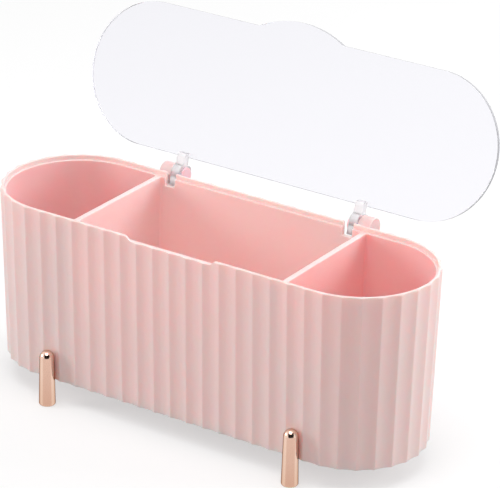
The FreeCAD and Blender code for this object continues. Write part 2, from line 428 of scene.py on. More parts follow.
@dataclass(frozen=True)
class MouldedClear:
    """Clear moulded plastic, thick and a little milky, with a fine mould texture."""

    name: str
    tint: Sequence[float] = (0.965, 0.955, 0.97)
    clearness: float = 0.70
    refraction: float = 1.49
    rough_low: float = 0.06
    rough_high: float = 0.16
    cloud: Pattern = Pattern(420.0)
    grain: Pattern = Pattern(2600.0, 2.0)
    grain_height: float = 0.00001

    def material(self) -> bpy.types.Material:
        """Build the material.

        Returns:
            The material.
        """
        tree = NodeTree.of_material(self.name)
        shader = tree.principled(Base_Color=(*self.tint, 1.0), IOR=self.refraction,
                                 Transmission_Weight=self.clearness)
        tree.join(tree.ranged(tree.noise(self.cloud), self.rough_low, self.rough_high),
                  shader.inputs["Roughness"])
        tree.join(tree.bump(tree.noise(self.grain), self.grain_height), shader.inputs["Normal"])
        return tree.output(shader.outputs["BSDF"])


@dataclass(frozen=True)
class RoseGoldPlate:
    """Bright copper-pink plating with faint wiping marks, a slight colour drift, painted shade
    towards the foot and painted dark reflections at its sides.
    """

    name: str
    bright: Sequence[float] = (0.91, 0.67, 0.55)
    warm: Sequence[float] = (0.88, 0.62, 0.49)
    # Painted shade: the darker, warmer colour that the plating takes towards the foot.
    foot: Sequence[float] = (0.79, 0.53, 0.40)
    # Painted reflection: a dark edge tint that darkens the plating at grazing angles, standing in
    # for dark surroundings seen in the legs' sides.
    edge: Sequence[float] = (0.20, 0.11, 0.08)
    rough_low: float = 0.09
    rough_high: float = 0.20
    drift: Pattern = Pattern(90.0)
    # Height over which the painted shade at the foot fades out.
    painted_foot_shade_height: float = 0.021
    wipe: Pattern = Pattern(700.0, 3.0, 0.6, (1.0, 1.0, 0.12))
    wipe_height: float = 0.000003

    def material(self) -> bpy.types.Material:
        """Build the material, with painted shade making it darker and warmer towards the foot.

        Returns:
            The material.
        """
        tree = NodeTree.of_material(self.name)
        # The dark edge tint paints dark reflections on the legs' sides.
        shader = tree.principled(Metallic=1.0, Specular_Tint=(*self.edge, 1.0))
        upper = tree.mixed(tree.ranged(tree.noise(self.drift), 0.0, 1.0), self.bright, self.warm)
        # Painted shade towards the foot.
        low = tree.ranged(tree.height(), 1.0, 0.0, 0.0, self.painted_foot_shade_height)
        tree.join(tree.mixed(low, upper, self.foot), shader.inputs["Base Color"])
        wipe = tree.noise(self.wipe)
        tree.join(tree.ranged(wipe, self.rough_low, self.rough_high), shader.inputs["Roughness"])
        tree.join(tree.bump(wipe, self.wipe_height), shader.inputs["Normal"])
        return tree.output(shader.outputs["BSDF"])


# ---------------------------------------------------------------------------- mesh helpers
def arc_steps(count: int) -> list[float]:
    """Angles from 0 to a right angle in count equal steps, both ends included."""
    return [RIGHT_ANGLE * index / count for index in range(count + 1)]


def quarter(radius: float, steps: int) -> list[tuple[float, float]]:
    """Pairs round a quarter round: one falls from the radius to 0 as the other rises to it."""
    return [(radius * (1.0 - math.sin(angle)), radius * (1.0 - math.cos(angle)))
            for angle in arc_steps(steps)]


@dataclass(frozen=True)
class Ring:
    """One level of a lofted shape: its inset from the outline and its height."""

    inset: float
    z: float


Outline = Callable[[int, Ring], Vector]


def loft(outline: Outline, count: int, rings: Sequence[Ring]) -> bmesh.types.BMesh:
    """Loft a closed solid up through rings that share one count of corners.

    Args:
        outline: Place of a numbered corner at a ring.
        count: Corners in each ring.
        rings: Levels from the bottom up.

    Returns:
        A closed bmesh, capped at both ends.
    """
    mesh = bmesh.new()
    number = mesh.verts.layers.int.new("corner")
    bmesh.ops.create_circle(mesh, cap_ends=False, segments=count, radius=1.0)
    mesh.verts.ensure_lookup_table()
    for index, vert in enumerate(mesh.verts):
        vert[number] = index
        vert.co = outline(index, rings[0])
    bottom = list(mesh.edges)
    edges = bottom
    for ring in rings[1:]:
        grown = bmesh.ops.extrude_edge_only(mesh, edges=edges)["geom"]
        fresh = {item for item in grown if isinstance(item, bmesh.types.BMVert)}
        for vert in fresh:
            vert.co = outline(vert[number], ring)
        edges = [item for item in grown if isinstance(item, bmesh.types.BMEdge)
                 and item.is_boundary and fresh.issuperset(item.verts)]
    bmesh.ops.contextual_create(mesh, geom=bottom)
    bmesh.ops.contextual_create(mesh, geom=edges)
    bmesh.ops.recalc_face_normals(mesh, faces=mesh.faces)
    return mesh


def polygon(corners: Sequence[Vector]) -> bmesh.types.BMesh:
    """Make a flat mesh of one face.

    Args:
        corners: The face's corners in order.

    Returns:
        A bmesh of the face alone.
    """
    mesh = bmesh.new()
    mesh.faces.new([mesh.verts.new(corner) for corner in corners])
    return mesh


def thicken(mesh: bmesh.types.BMesh, along: Vector) -> bmesh.types.BMesh:
    """Extrude a flat mesh into a closed solid.

    Args:
        mesh: The flat mesh, which is changed.
        along: How far and which way it is extruded.

    Returns:
        The same bmesh, now closed.
    """
    grown = bmesh.ops.extrude_face_region(mesh, geom=list(mesh.faces))["geom"]
    bmesh.ops.translate(mesh, vec=along,
                        verts=[item for item in grown if isinstance(item, bmesh.types.BMVert)])
    bmesh.ops.recalc_face_normals(mesh, faces=mesh.faces)
    return mesh


def block(low: Vector, high: Vector) -> bmesh.types.BMesh:
    """Make a box.

    Args:
        low: Corner with the lowest coordinates.
        high: Corner with the highest.

    Returns:
        A closed bmesh.
    """
    mesh = bmesh.new()
    bmesh.ops.create_cube(mesh, size=1.0)
    bmesh.ops.scale(mesh, vec=high - low, verts=mesh.verts)
    bmesh.ops.translate(mesh, vec=(low + high) / 2.0, verts=mesh.verts)
    return mesh


def rod(middle: Vector, way: Lying, length: float, radius: float,
        steps: int) -> bmesh.types.BMesh:
    """Make a plain round rod.

    Args:
        middle: Its middle.
        way: The axis that it lies along.
        length: Its length.
        radius: Its radius.
        steps: Segments round.

    Returns:
        A closed bmesh.
    """
    mesh = bmesh.new()
    bmesh.ops.create_cone(mesh, cap_ends=True, segments=steps, radius1=radius, radius2=radius,
                          depth=length)
    bmesh.ops.rotate(mesh, cent=Vector(), verts=mesh.verts,
                     matrix=Matrix.Rotation(RIGHT_ANGLE, 3, way.value))
    bmesh.ops.translate(mesh, vec=middle, verts=mesh.verts)
    return mesh


def turned(profile: Sequence[Vector], centre: Vector, axis: Vector,
           steps: int) -> bmesh.types.BMesh:
    """Spin a profile round an axis into a closed solid.

    Args:
        profile: Corners from one end of the axis to the other.
        centre: A point on the axis.
        axis: Direction of the axis.
        steps: Segments round.

    Returns:
        A closed bmesh.
    """
    mesh = bmesh.new()
    verts = [mesh.verts.new(point) for point in profile]
    edges = [mesh.edges.new(pair) for pair in zip(verts, verts[1:])]
    bmesh.ops.spin(mesh, geom=verts + edges, cent=centre, axis=axis, angle=2.0 * math.pi,
                   steps=steps, use_merge=True)
    bmesh.ops.remove_doubles(mesh, verts=mesh.verts, dist=MERGE_DISTANCE)
    bmesh.ops.recalc_face_normals(mesh, faces=mesh.faces)
    return mesh


def round_corner(mesh: bmesh.types.BMesh, place: Vector, radius: float, steps: int) -> None:
    """Round one corner of a flat face.

    Args:
        mesh: Mesh that holds the face.
        place: Where the corner is.
        radius: Radius of a square corner's rounding.
        steps: Segments of the rounding.
    """
    nearest = min(mesh.verts, key=lambda vert: (vert.co - place).length)
    bmesh.ops.bevel(mesh, geom=[nearest], offset=radius, segments=steps, profile=0.5,
                    affect="VERTICES", material=-1)


def soften(mesh: bmesh.types.BMesh, edges: Sequence[bmesh.types.BMEdge], width: float,
           steps: int) -> None:
    """Round sharp edges by a small width, in a few steps."""
    bmesh.ops.bevel(mesh, geom=list(edges), offset=width, segments=steps, profile=0.5,
                    affect="EDGES", material=-1, clamp_overlap=True)


def as_object(mesh: bmesh.types.BMesh, name: str) -> bpy.types.Object:
    """Turn a bmesh into an object at the origin and free it.

    Args:
        mesh: The bmesh, which can't be used afterwards.
        name: Name of the object and of its mesh.

    Returns:
        The new object.
    """
    data = bpy.data.meshes.new(name)
    mesh.to_mesh(data)
    mesh.free()
    made = bpy.data.objects.new(name, data)
    bpy.context.scene.collection.objects.link(made)
    return made


def combined(base: bmesh.types.BMesh,
             parts: Sequence[tuple[Cut, bmesh.types.BMesh]]) -> bmesh.types.BMesh:
    """Add shapes to a solid and take others away.

    Args:
        base: The solid to start from.
        parts: Each shape with how it is combined, in order.

    Returns:
        A new bmesh of the result.
    """
    body = as_object(base, "combine_body")
    tools = []
    for number, (cut, shape) in enumerate(parts):
        tool = as_object(shape, "combine_tool_%d" % number)
        tools.append(tool)
        modifier = body.modifiers.new("cut_%d" % number, "BOOLEAN")
        modifier.operation = cut.value
        modifier.object = tool
        modifier.solver = "EXACT"
    result = bmesh.new()
    result.from_object(body, bpy.context.evaluated_depsgraph_get())
    for item in (body, *tools):
        data = item.data
        bpy.data.objects.remove(item)
        bpy.data.meshes.remove(data)
    bmesh.ops.remove_doubles(result, verts=result.verts, dist=MERGE_DISTANCE)
    bmesh.ops.dissolve_degenerate(result, dist=MERGE_DISTANCE, edges=result.edges)
    return result


@dataclass
class Piece:
    """A finished piece: its mesh, finish, body and the CAD nodes that it stands for."""

    name: str
    mesh: bmesh.types.BMesh
    material: bpy.types.Material
    body: Body
    slot: Slot
    stands_for: str
    smooth_angle: float = math.radians(28.0)
    normal_weight: int = 60

    def place(self) -> bpy.types.Object:
        """Make the object, dress it, attach it to its body and hide the CAD node that it stands
        for.

        Returns:
            The finished object.
        """
        made = as_object(self.mesh, self.name)
        made.data.materials.append(self.material)
        made.data.shade_smooth()
        made.data.set_sharp_from_angle(angle=self.smooth_angle)
        weighted = made.modifiers.new("even_normals", "WEIGHTED_NORMAL")
        weighted.keep_sharp = True
        weighted.weight = self.normal_weight
        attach(made, self.body.value)
        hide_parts(self.stands_for)
        log.info("%s: %d faces on %s", self.name, len(made.data.polygons), self.body.value)
        return made


# ------------------------------------------------------------------------------------- tub
@dataclass
class Tub:
    """Fluted pink tub with its lip, ledge, dividers, finger dip, notches and hinge lugs."""

    finish: bpy.types.Material
    length: float = 0.2215
    width: float = 0.072
    height: float = 0.0831
    standing_gap: float = 0.011
    draft: float = 0.00225
    flutes: int = 60
    flute_depth: float = 0.00075
    ridge_softness: float = 0.00010
    lip: float = 0.0017
    ledge_width: float = 0.001
    ledge_depth: float = 0.0022
    floor: float = 0.0026
    rim_rounding: float = 0.00058
    rim_inner_rounding: float = 0.00035
    rim_steps: int = 4
    ledge_rounding: float = 0.00025
    ledge_corner: float = 0.00025
    ledge_steps: int = 3
    underside_rounding: float = 0.0006
    underside_steps: int = 5
    pocket_fillet: float = 0.0012
    pocket_corner: float = 0.0014
    pocket_steps: int = 6
    divider: float = 0.0026
    divider_left: float = -0.054
    divider_right: float = 0.05675
    # Shares of painted light: the middle compartment's walls get a little of the painted bounce
    # light, and the upward faces at the rim, ledge and divider tops get painted shade.
    middle_painted_light: float = 0.15
    top_painted_shade: float = 0.55
    top_slope: float = 0.6
    dip_half_width: float = 0.0213
    dip_shoulder_inside: float = 0.0008
    dip_shoulder_outside: float = 0.0032
    dip_steps: int = 12
    overrun: float = 0.001
    hinge_setback: float = 0.00605
    hinge_drop: float = 0.0034
    notch_near: float = 0.0453
    notch_far: float = 0.0506
    notch_floor_drop: float = 0.0064
    lug_radius: float = 0.0049
    lug_width: float = 0.0064
    lug_web_rise: float = 0.0015
    lug_gusset_drop: float = 0.011
    lug_root: float = 0.002
    lug_edge: float = 0.00035
    lug_edge_steps: int = 3
    flute_stations: Sequence[float] = (0.0, 0.02, 0.045, 0.08, 0.13, 0.20, 0.28, 0.36, 0.44,
                                       0.56, 0.64, 0.72, 0.80, 0.87, 0.92, 0.955, 0.98)
    end_steps: int = 48

    @property
    def radius(self) -> float:
        """Radius of the round ends at the rim."""
        return self.width / 2.0

    @property
    def half_straight(self) -> float:
        """Half the length of the straight walls."""
        return self.length / 2.0 - self.radius

    @property
    def rim(self) -> float:
        """Height of the rim."""
        return self.standing_gap + self.height

    @property
    def ledge(self) -> float:
        """Height of the ledge that the lid rests on."""
        return self.rim - self.ledge_depth

    @property
    def hinge(self) -> Vector:
        """A point on the hinge axis, in the middle."""
        return Vector((0.0, self.radius + self.hinge_setback, self.rim - self.hinge_drop))

    def drafted(self, z: float) -> float:
        """Inset of the wall at a height, from the outline at the rim."""
        return self.draft * (self.rim - z) / self.height

    def on_end(self, side: float, angle: float, radius: float, z: float) -> Vector:
        """A point on a round end, at an angle from the middle of that end."""
        return Vector((side * (self.half_straight + radius * math.cos(angle)),
                       side * radius * math.sin(angle), z))

    def on_outline(self, run: float, inset: float, z: float) -> Vector:
        """A point on the obround.

        Args:
            run: Distance round the rim outline from the middle of the front.
            inset: How far inside the rim outline.
            z: Height.

        Returns:
            The point.
        """
        end = math.pi * self.radius
        straight = 2.0 * self.half_straight
        run = (run + self.half_straight) % (2.0 * (end + straight))
        side = 1.0
        if run >= straight + end:
            run -= straight + end
            side = -1.0
        radius = self.radius - inset
        if run < straight:
            return Vector((side * (run - self.half_straight), -side * radius, z))
        return self.on_end(side, (run - straight) / self.radius - RIGHT_ANGLE, radius, z)

    def flute(self, share: float) -> float:
        """Depth of a flute, with the ridges slightly rounded.

        Args:
            share: Where in the flute, from 0 at one ridge to 1 at the next.

        Returns:
            The depth.
        """
        sharp = self.flute_depth * (1.0 - (2.0 * share - 1.0) ** 2)
        soft = self.ridge_softness
        eased = math.hypot(sharp, soft) - soft
        return eased * self.flute_depth / (math.hypot(self.flute_depth, soft) - soft)

    def fluted_corner(self, index: int, ring: Ring) -> Vector:
        """Corner of the fluted wall.

        Args:
            index: Number of the corner.
            ring: Level of the wall.

        Returns:
            The corner.
        """
        number, station = divmod(index, len(self.flute_stations))
        share = self.flute_stations[station]
        pitch = 2.0 * (math.pi * self.radius + 2.0 * self.half_straight) / self.flutes
        return self.on_outline((number + share) * pitch, ring.inset + self.flute(share), ring.z)

    def plain_corner(self, index: int, ring: Ring) -> Vector:
        """Corner of the plain obround, which has corners on the round ends only.

        Args:
            index: Number of the corner.
            ring: Level of the obround.

        Returns:
            The corner.
        """
        half, step = divmod(index, self.end_steps + 1)
        angle = math.pi * step / self.end_steps - RIGHT_ANGLE
        return self.on_end(-1.0 if half else 1.0, angle, self.radius - ring.inset, ring.z)

    def outside(self) -> bmesh.types.BMesh:
        """Model the outside: fluted and drafted, with rounded underside and rim edges.

        Returns:
            The outside as a solid.
        """
        levels = [(inset, self.standing_gap + rise)
                  for inset, rise in quarter(self.underside_rounding, self.underside_steps)]
        levels += [(inset, self.rim - drop)
                   for drop, inset in quarter(self.rim_rounding, self.rim_steps)]
        rings = [Ring(self.drafted(z) + inset, z) for inset, z in levels]
        return loft(self.fluted_corner, self.flutes * len(self.flute_stations), rings)

    def recess(self) -> bmesh.types.BMesh:
        """Model the space above the ledge that takes the lid.

        Returns:
            The space as a solid to take away.
        """
        high = self.rim_inner_rounding
        rings = [Ring(self.lip + inset, self.ledge + rise)
                 for inset, rise in quarter(self.ledge_corner, self.ledge_steps)]
        rings += [Ring(self.lip - inset, self.rim - drop)
                  for drop, inset in quarter(high, self.rim_steps)]
        rings.append(Ring(self.lip - high, self.rim + self.overrun))
        return loft(self.plain_corner, 2 * (self.end_steps + 1), rings)

    def pocket_rings(self) -> list[Ring]:
        """Levels of a compartment.

        Returns:
            Rings with insets from the compartment's drafted wall.
        """
        high = self.ledge_rounding
        base = self.standing_gap + self.floor
        rings = [Ring(inset, base + rise)
                 for inset, rise in quarter(self.pocket_fillet, self.pocket_steps)]
        rings += [Ring(-inset, self.ledge - drop)
                  for drop, inset in quarter(high, self.ledge_steps)]
        rings.append(Ring(-high, self.ledge + self.ledge_corner))
        return rings

    def pocket_reach(self, ring: Ring) -> float:
        """Distance from the middle of the tub to a compartment's front or back wall."""
        wall = self.lip + self.ledge_width
        return self.radius - wall - self.drafted(ring.z) - ring.inset

    def pocket_round(self, index: int, edge: float, ring: Ring) -> Vector:
        """A point on one of a compartment's rounded corners.

        Args:
            index: Number of the point, counted over the corners in turn.
            edge: Where the compartment's end wall is along X.
            ring: Level of the compartment.

        Returns:
            The point.
        """
        turn, step = divmod(index, self.pocket_steps + 1)
        x_side, y_side = CORNERS[turn]
        curve = self.pocket_corner - ring.inset
        angle = RIGHT_ANGLE * (turn + step / self.pocket_steps)
        return Vector((edge - x_side * curve + curve * math.cos(angle),
                       y_side * (self.pocket_reach(ring) - curve) + curve * math.sin(angle),
                       ring.z))

    def middle_pocket(self) -> bmesh.types.BMesh:
        """Model the compartment between the two dividers.

        Returns:
            The compartment as a solid to take away.
        """
        ends = {-1.0: self.divider_left + self.divider / 2.0,
                1.0: self.divider_right - self.divider / 2.0}
        points = self.pocket_steps + 1

        def corner(index: int, ring: Ring) -> Vector:
            """Corner of the rounded rectangle at a ring."""
            x_side = CORNERS[index // points][0]
            return self.pocket_round(index, ends[x_side] - x_side * ring.inset, ring)

        return loft(corner, len(CORNERS) * points, self.pocket_rings())

    def end_pocket(self, side: Side) -> bmesh.types.BMesh:
        """Model a compartment with a round end.

        Args:
            side: Which end of the tub.

        Returns:
            The compartment as a solid to take away.
        """
        middle = self.divider_right if side is Side.RIGHT else -self.divider_left
        near = middle + self.divider / 2.0
        arc_points = self.end_steps + 1
        corner_points = self.pocket_steps + 1

        def corner(index: int, ring: Ring) -> Vector:
            """Corner of the D-shaped outline at a ring."""
            if index < arc_points:
                angle = math.pi * index / self.end_steps - RIGHT_ANGLE
                point = self.on_end(1.0, angle, self.pocket_reach(ring), ring.z)
            else:
                point = self.pocket_round(index - arc_points + corner_points,
                                          near + ring.inset, ring)
            return Vector((side.value * point.x, point.y, point.z))

        return loft(corner, arc_points + 2 * corner_points, self.pocket_rings())

    def lug(self, side: Side) -> list[bmesh.types.BMesh]:
        """Hinge lug: a barrel on the hinge axis and the web under it.

        Args:
            side: Which lug.

        Returns:
            The barrel and the web.
        """
        near = side.value * self.notch_far
        far = side.value * (self.notch_far + self.lug_width)
        start = self.hinge + Vector((near, 0.0, 0.0))
        edge = self.lug_edge
        rounding = quarter(edge, self.lug_edge_steps)
        shape = [(along, self.lug_radius - drop) for drop, along in rounding]
        shape += [(self.lug_width - along, self.lug_radius - drop)
                  for drop, along in reversed(rounding)]
        profile = [start]
        profile += [start + Vector((side.value * along, 0.0, up)) for along, up in shape]
        profile.append(Vector((far, self.hinge.y, self.hinge.z)))
        barrel = turned(profile, self.hinge, X_AXIS, TURNED_STEPS)
        root = self.radius - self.lug_root
        top = self.hinge.z + self.lug_web_rise
        inner = near + side.value * edge
        web = polygon([Vector((inner, y, z)) for y, z in (
            (root, top), (self.hinge.y, top),
            (self.hinge.y, self.hinge.z - self.lug_radius + edge),
            (root, self.hinge.z - self.lug_gusset_drop))])
        return [barrel, thicken(web, X_AXIS * (far - near - 2.0 * side.value * edge))]

    def dip(self) -> bmesh.types.BMesh:
        """Model the finger dip in the front lip, with soft S-shaped shoulders.

        Returns:
            The dip as a solid to take away.
        """
        start = self.dip_half_width - self.dip_shoulder_inside
        run = self.dip_shoulder_inside + self.dip_shoulder_outside
        right = []
        for step in range(self.dip_steps + 1):
            share = step / self.dip_steps
            right.append((start + run * share,
                          self.ledge + self.ledge_depth * (1.0 - math.cos(math.pi * share)) / 2.0))
        right.append((start + run, self.rim + self.overrun))
        left = [(-x, z) for x, z in reversed(right)]
        front = -self.radius - self.overrun
        return thicken(polygon([Vector((x, front, z)) for x, z in right + left]),
                       Vector((0.0, self.overrun + self.lip + self.overrun, 0.0)))

    def notch(self, side: Side) -> bmesh.types.BMesh:
        """Model the notch in the back wall for a hinge arm.

        Args:
            side: Which notch.

        Returns:
            The notch as a solid to take away.
        """
        ends = sorted((side.value * self.notch_near, side.value * self.notch_far))
        back = self.radius - self.lip - self.ledge_width
        low = Vector((ends[0], back - self.overrun, self.rim - self.notch_floor_drop))
        high = Vector((ends[1], self.radius + self.overrun, self.rim + self.overrun))
        return block(low, high)

    def shade(self, place: Vector, upward: float) -> float:
        """How deep the painted light on a face is: painted bounce light in the compartments, and
        painted shade on the upward faces at the rim, ledge and divider tops.

        Args:
            place: Middle of the face.
            upward: Upward part of its normal.

        Returns:
            0 on the outside, 1 in the compartments, and shares of that on the walls of the
            middle compartment and on the rim, the ledge and the tops of the dividers.
        """
        shelf = self.ledge - self.ledge_rounding
        if place.z > shelf:
            return self.top_painted_shade if upward > self.top_slope else 0.0
        beyond = max(0.0, abs(place.x) - self.half_straight)
        wall = self.radius - self.drafted(place.z) - self.lip
        if math.hypot(beyond, place.y) > wall or place.z < self.standing_gap + self.floor / 2.0:
            return 0.0
        between = self.divider_left < place.x < self.divider_right
        return self.middle_painted_light if between and upward < self.top_slope else 1.0

    def mark_faces(self, mesh: bmesh.types.BMesh) -> None:
        """Store each face's share of painted light and shade, and which faces are the lugs', which
        the finish paints with shade.

        Args:
            mesh: The finished tub.
        """
        painted_light_layer = mesh.faces.layers.float.new(PAINTED_LIGHT_SHARE)
        lugs = mesh.faces.layers.float.new(LUG_PAINTED_SHADE)
        mesh.normal_update()
        for face in mesh.faces:
            middle = face.calc_center_median()
            # Lug faces take the painted lug shade in place of the other painted light.
            on_lug = middle.y > self.radius + self.lug_edge
            face[lugs] = 1.0 if on_lug else 0.0
            face[painted_light_layer] = 0.0 if on_lug else self.shade(middle, face.normal.z)

    def build(self) -> bpy.types.Object:
        """Model the tub and place it.

        Returns:
            The finished tub.
        """
        parts = [(Cut.ADD, shape) for side in Side for shape in self.lug(side)]
        parts += [(Cut.TAKE, shape) for shape in (
            self.end_pocket(Side.LEFT), self.middle_pocket(), self.end_pocket(Side.RIGHT),
            self.recess(), self.dip(), self.notch(Side.LEFT), self.notch(Side.RIGHT))]
        mesh = combined(self.outside(), parts)
        self.mark_faces(mesh)
        return Piece("tub_shell", mesh, self.finish, Body.TUB, Slot.PINK, "tub").place()


# ------------------------------------------------------------------------------------- lid
@dataclass
class Lid:
    """Clear lid: a plate with a thumb tab, and two hinge arms bonded under it."""

    tub: Tub
    finish: bpy.types.Material
    arm_finish: bpy.types.Material
    thickness: float = 0.002
    side_clearance: float = 0.0007
    seat_clearance: float = 0.00015
    tab_chord: float = 0.045
    tab_height: float = 0.0057
    tab_steps: int = 24
    tab_blend: float = 0.004
    tab_blend_steps: int = 8
    plate_edge: float = 0.00022
    plate_edge_steps: int = 3
    cut_edge_slope: float = 0.1
    end_steps: int = 64
    open_angle: float = math.radians(107.7)
    arm_middle: float = 0.04815
    arm_width: float = 0.0043
    bar: float = 0.004
    grip: float = 0.0022
    knuckle: float = 0.0049
    nose: float = 0.0026
    crown: float = 0.003
    heel: float = 0.0005
    tip: float = 0.0024
    corner_steps: int = 10
    bore: float = 0.00162
    rod_steps: int = 64
    bond: float = 0.00002
    arm_edge: float = 0.00025
    arm_edge_steps: int = 2
    sharp_turn: float = RIGHT_ANGLE * 0.8

    @property
    def underside(self) -> float:
        """Height of the plate's underside when shut."""
        return self.tub.ledge + self.seat_clearance

    @property
    def half_width(self) -> float:
        """Half the plate's width."""
        return self.tub.radius - self.tub.lip - self.side_clearance

    @property
    def tab_radius(self) -> float:
        """Radius of the tab's curved edge."""
        chord = self.tab_chord / 2.0
        return (chord ** 2 + self.tab_height ** 2) / (2.0 * self.tab_height)

    @property
    def root_turn(self) -> float:
        """Angle that the outline turns through where the tab starts."""
        return math.asin(self.tab_chord / 2.0 / self.tab_radius)

    def open(self, mesh: bmesh.types.BMesh) -> None:
        """Turn a shape from its shut place to the open stop."""
        bmesh.ops.rotate(mesh, cent=self.tub.hinge, verts=mesh.verts,
                         matrix=Matrix.Rotation(-self.open_angle, 3, "X"))

    def outline(self) -> list[Vector]:
        """Corners of the plate's outline, before the tab is blended in.

        Returns:
            The tab's corners, then those of the right end and of the left end.
        """
        z = self.underside
        half = self.half_width
        radius = self.tab_radius
        middle = -half - self.tab_height + radius
        corners = []
        for step in range(self.tab_steps + 1):
            angle = self.root_turn * (2.0 * step / self.tab_steps - 1.0)
            corners.append(Vector((radius * math.sin(angle), middle - radius * math.cos(angle), z)))
        for side in (1.0, -1.0):
            for step in range(self.end_steps + 1):
                angle = math.pi * step / self.end_steps - RIGHT_ANGLE
                corners.append(self.tub.on_end(side, angle, half, z))
        return corners

    def plate(self) -> bpy.types.Object:
        """Model the plate and place it.

        Returns:
            The finished plate.
        """
        mesh = polygon(self.outline())
        for side in Side:
            root = Vector((side.value * self.tab_chord / 2.0, -self.half_width, self.underside))
            round_corner(mesh, root, self.tab_blend * math.tan(self.root_turn / 2.0),
                         self.tab_blend_steps)
        thicken(mesh, Z_AXIS * self.thickness)
        rims = [edge for edge in mesh.edges
                if abs(edge.verts[0].co.z - edge.verts[1].co.z) < self.thickness / 2.0]
        soften(mesh, rims, self.plate_edge, self.plate_edge_steps)
        layer = mesh.faces.layers.float.new(CUT_EDGE)
        for face in mesh.faces:
            face[layer] = 1.0 if abs(face.normal.z) < self.cut_edge_slope else 0.0
        self.open(mesh)
        return Piece("lid_plate_polished", mesh, self.finish, Body.LID, Slot.CLEAR,
                     "lid_plate").place()

    def arm(self, side: Side) -> bpy.types.Object:
        """Model one hinge arm and place it.

        Args:
            side: Which arm.

        Returns:
            The finished arm.
        """
        x = side.value * self.arm_middle - self.arm_width / 2.0
        ends = (x, x + self.arm_width)
        axis = self.tub.hinge
        near = axis.y - self.knuckle
        far = axis.y + self.knuckle
        low = axis.z - self.knuckle
        high = axis.z + self.knuckle
        top = self.underside - self.bond
        under = self.underside - self.bar
        tip = self.half_width - self.grip
        step = near + self.nose
        mesh = polygon([Vector((x, y, z)) for y, z in (
            (tip, top), (tip, under), (step, under), (step, low), (far, low), (far, high),
            (near, high), (near, top))])
        for (y, z), radius in (((tip, under), self.tip), ((far, low), self.heel),
                               ((far, high), self.crown), ((near, high), self.crown)):
            round_corner(mesh, Vector((x, y, z)), radius, self.corner_steps)
        thicken(mesh, X_AXIS * self.arm_width)
        middle = x + self.arm_width / 2.0
        nose = rod(Vector((middle, step, low + self.nose)), Lying.ALONG_X, self.arm_width,
                   self.nose, self.rod_steps)
        hole = rod(Vector((middle, axis.y, axis.z)), Lying.ALONG_X,
                   self.arm_width + 2.0 * self.tub.overrun, self.bore, self.rod_steps)
        mesh = combined(mesh, [(Cut.ADD, nose), (Cut.TAKE, hole)])
        rims = [edge for edge in mesh.edges
                if any(all(abs(vert.co.x - end) < TOUCH for vert in edge.verts) for end in ends)
                and len(edge.link_faces) == 2
                and edge.calc_face_angle(0.0) > self.sharp_turn]
        soften(mesh, rims, self.arm_edge, self.arm_edge_steps)
        self.open(mesh)
        node = "hinge_arm_%s" % side.word
        return Piece("%s_clear" % node, mesh, self.arm_finish, Body.LID, Slot.CLEAR,
                     node).place()

    def build(self) -> None:
        """Model the plate and both arms."""
        self.plate()
        for side in Side:
            self.arm(side)


@dataclass
class HingePins:
    """Pink headed pins through the arms into the lugs."""

    tub: Tub
    finish: bpy.types.Material
    head_far: float = 0.04495
    head_near: float = 0.04575
    shank_end: float = 0.0556
    head_radius: float = 0.0042
    shank_radius: float = 0.00155
    head_edge: float = 0.00022
    head_edge_steps: int = 3

    def build(self) -> None:
        """Spin both pins and place them."""
        axis = self.tub.hinge
        shape = [(self.head_far, 0.0)]
        shape += [(self.head_far + along, self.head_radius - drop)
                  for drop, along in quarter(self.head_edge, self.head_edge_steps)]
        shape += [(self.head_near, self.head_radius), (self.head_near, self.shank_radius),
                  (self.shank_end, self.shank_radius), (self.shank_end, 0.0)]
        for side in Side:
            profile = [Vector((side.value * x, axis.y, axis.z + up)) for x, up in shape]
            mesh = turned(profile, axis, X_AXIS, TURNED_STEPS)
            node = "hinge_pin_%s" % side.word
            Piece("%s_moulded" % node, mesh, self.finish, Body.TUB, Slot.PINK, node).place()


